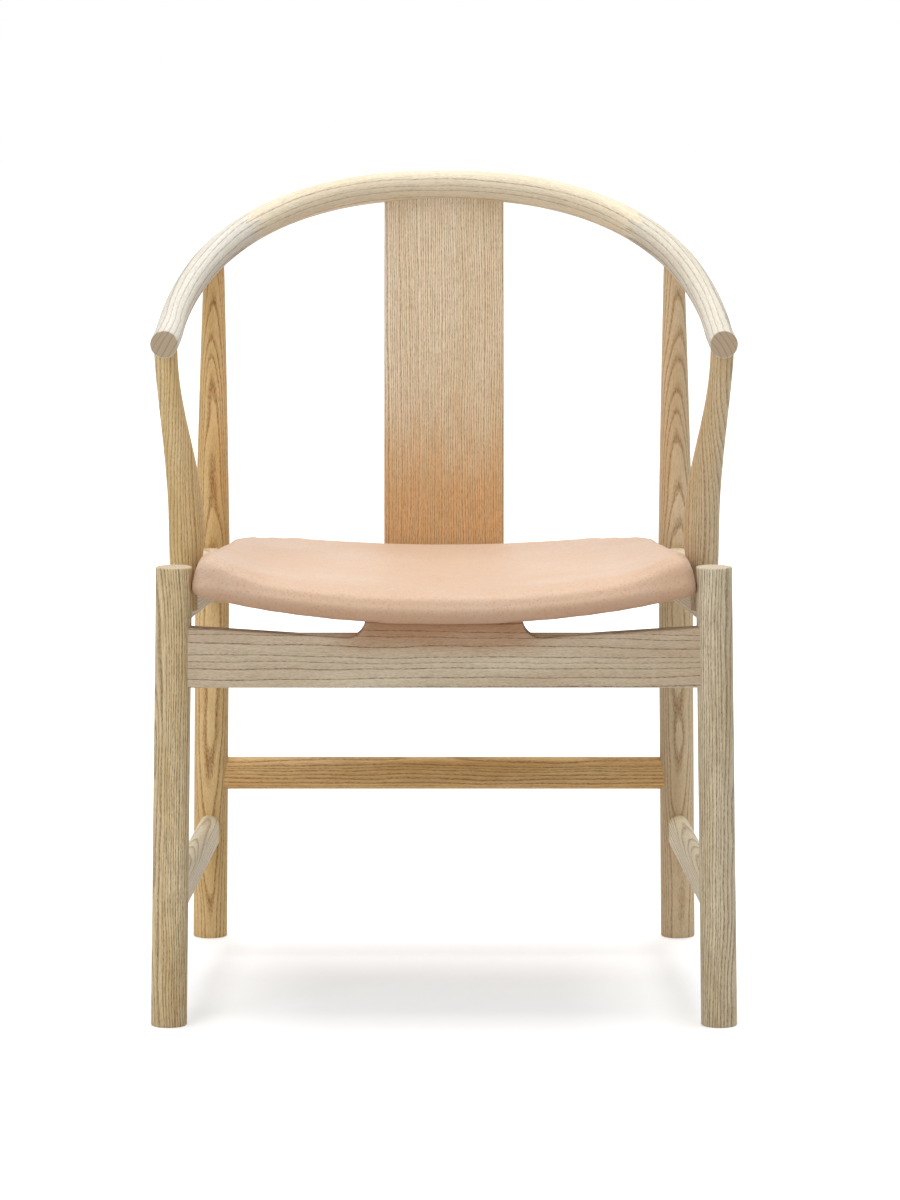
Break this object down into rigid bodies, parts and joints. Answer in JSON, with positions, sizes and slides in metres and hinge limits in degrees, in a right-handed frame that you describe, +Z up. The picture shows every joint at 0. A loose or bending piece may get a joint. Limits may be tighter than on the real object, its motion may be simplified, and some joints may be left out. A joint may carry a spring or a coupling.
{
  "type": "horseshoe back armchair",
  "caption": "Wooden armchair with a horseshoe bow for back and arms, a central splat, swan-neck arm posts, round legs and a dished leather seat.",
  "frame": {"origin": "on the floor, under the middle of the chair's bounding box", "axes": "+Z up, +Y towards the back, +X to the sitter's left"},
  "size_m": [0.586, 0.5274, 0.8247],
  "materials": {
    "ash_front_legs": "soaped ash, matt, with open straight grain",
    "ash_rear_legs": "soaped ash, matt, with open straight grain",
    "ash_arm_posts": "soaped ash, matt, with open straight grain",
    "ash_bow_back": "soaped ash, matt, with open straight grain",
    "ash_bow_arms": "soaped ash, matt, with open straight grain",
    "ash_splat": "soaped ash, matt, with open straight grain",
    "ash_front_rail": "soaped ash, matt, with open straight grain",
    "ash_side_rails": "soaped ash, matt, with open straight grain",
    "ash_rear_rail": "soaped ash, matt, with open straight grain",
    "ash_rear_stretcher": "soaped ash, matt, with open straight grain",
    "ash_side_stretchers": "soaped ash, matt, with open straight grain",
    "moulded_plywood": "sanded birch plywood",
    "seat_foam": "cut polyurethane foam",
    "natural_leather": "undyed vegetable-tanned leather, matt",
    "base_cloth": "black non-woven cloth",
    "zinc_plated_steel": "zinc-plated steel"
  },
  "bodies": {
    "root": {"front_leg_left": "ash_front_legs", "front_leg_right": "ash_front_legs", "rear_leg_left": "ash_rear_legs", "rear_leg_right": "ash_rear_legs", "arm_post_left": "ash_arm_posts", "arm_post_right": "ash_arm_posts", "bow_back": "ash_bow_back", "bow_arm_left": "ash_bow_arms", "bow_arm_right": "ash_bow_arms", "back_splat": "ash_splat", "front_seat_rail": "ash_front_rail", "side_seat_rail_left": "ash_side_rails", "side_seat_rail_right": "ash_side_rails", "rear_seat_rail": "ash_rear_rail", "rear_stretcher": "ash_rear_stretcher", "side_stretcher_left": "ash_side_stretchers", "side_stretcher_right": "ash_side_stretchers", "seat_shell": "moulded_plywood", "seat_foam": "seat_foam", "seat_leather": "natural_leather", "seat_base_cloth": "base_cloth", "seat_screws": "zinc_plated_steel"}
  },
  "joints": []
}
